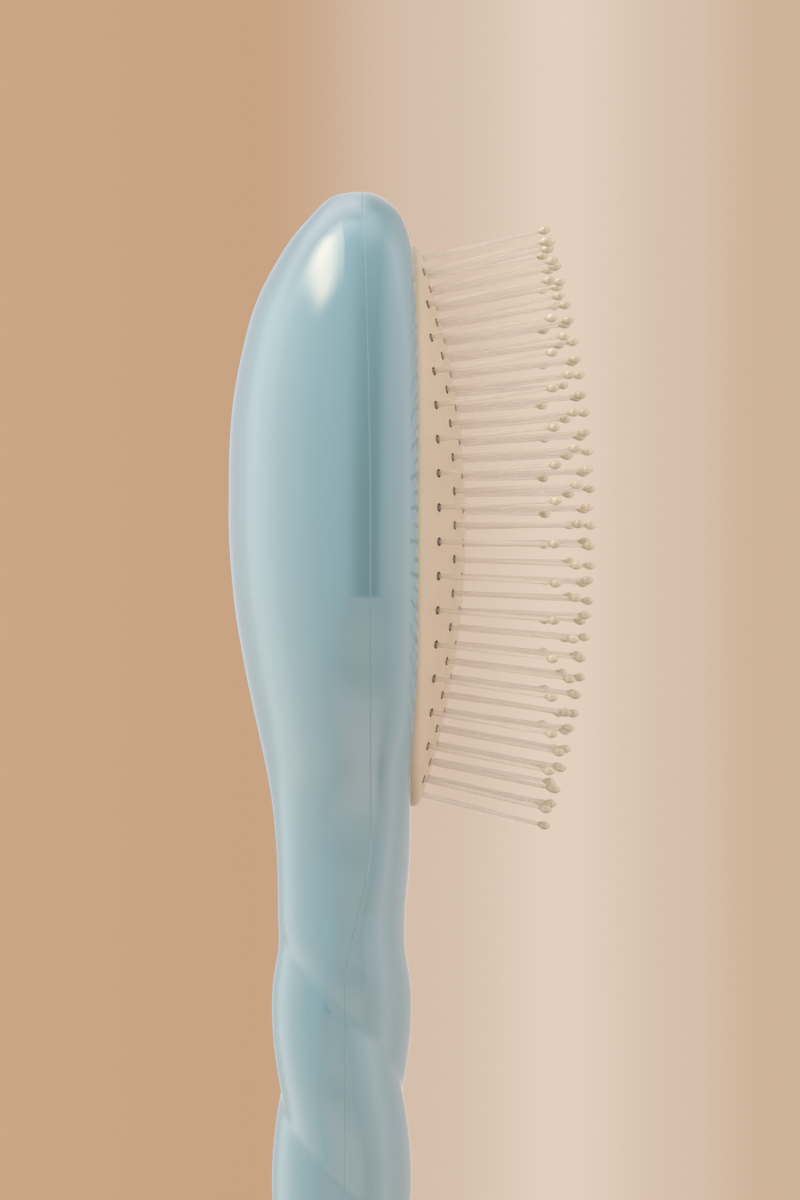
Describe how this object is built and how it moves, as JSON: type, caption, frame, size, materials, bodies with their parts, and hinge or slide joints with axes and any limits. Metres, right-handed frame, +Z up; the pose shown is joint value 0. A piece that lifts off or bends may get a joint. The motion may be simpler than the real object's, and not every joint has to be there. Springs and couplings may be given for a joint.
{
  "type": "detangling brush",
  "caption": "Cushion hair brush with a hollow two-part body, a twisted handle and a domed rubber pad that carries ball-tipped nylon pins.",
  "frame": {"origin": "middle of the flat end of the handle", "axes": "+Z up the handle to the head, +X out of the pad along its middle pins"},
  "size_m": [0.0588, 0.0526, 0.22],
  "materials": {
    "body_gloss": "glossy moulded pale blue",
    "pad_rubber": "satin ivory rubber",
    "pin_nylon": "clear nylon, drawn smooth",
    "tip_pearl": "ivory pearl",
    "ring_plastic": "plain moulded"
  },
  "bodies": {
    "brush_body": {"back_shell": "body_gloss", "front_shell": "body_gloss", "cushion_pad": "pad_rubber", "pad_clamp_ring": "ring_plastic"},
    "pin_field": {"pins_row_1": "pin_nylon", "pins_row_2": "pin_nylon", "pins_row_3": "pin_nylon", "pins_row_4": "pin_nylon", "pins_row_5": "pin_nylon", "pins_row_6": "pin_nylon", "pins_row_7": "pin_nylon", "ball_tips_row_1": "tip_pearl", "ball_tips_row_2": "tip_pearl", "ball_tips_row_3": "tip_pearl", "ball_tips_row_4": "tip_pearl", "ball_tips_row_5": "tip_pearl", "ball_tips_row_6": "tip_pearl", "ball_tips_row_7": "tip_pearl"}
  },
  "joints": [
    {"name": "cushion_press", "type": "slide", "parent": "brush_body", "child": "pin_field", "axis": [1, 0, 0], "range_m": [-0.004, 0], "stiffness_N_per_m": 2500, "deforming": ["cushion_pad"]}
  ]
}
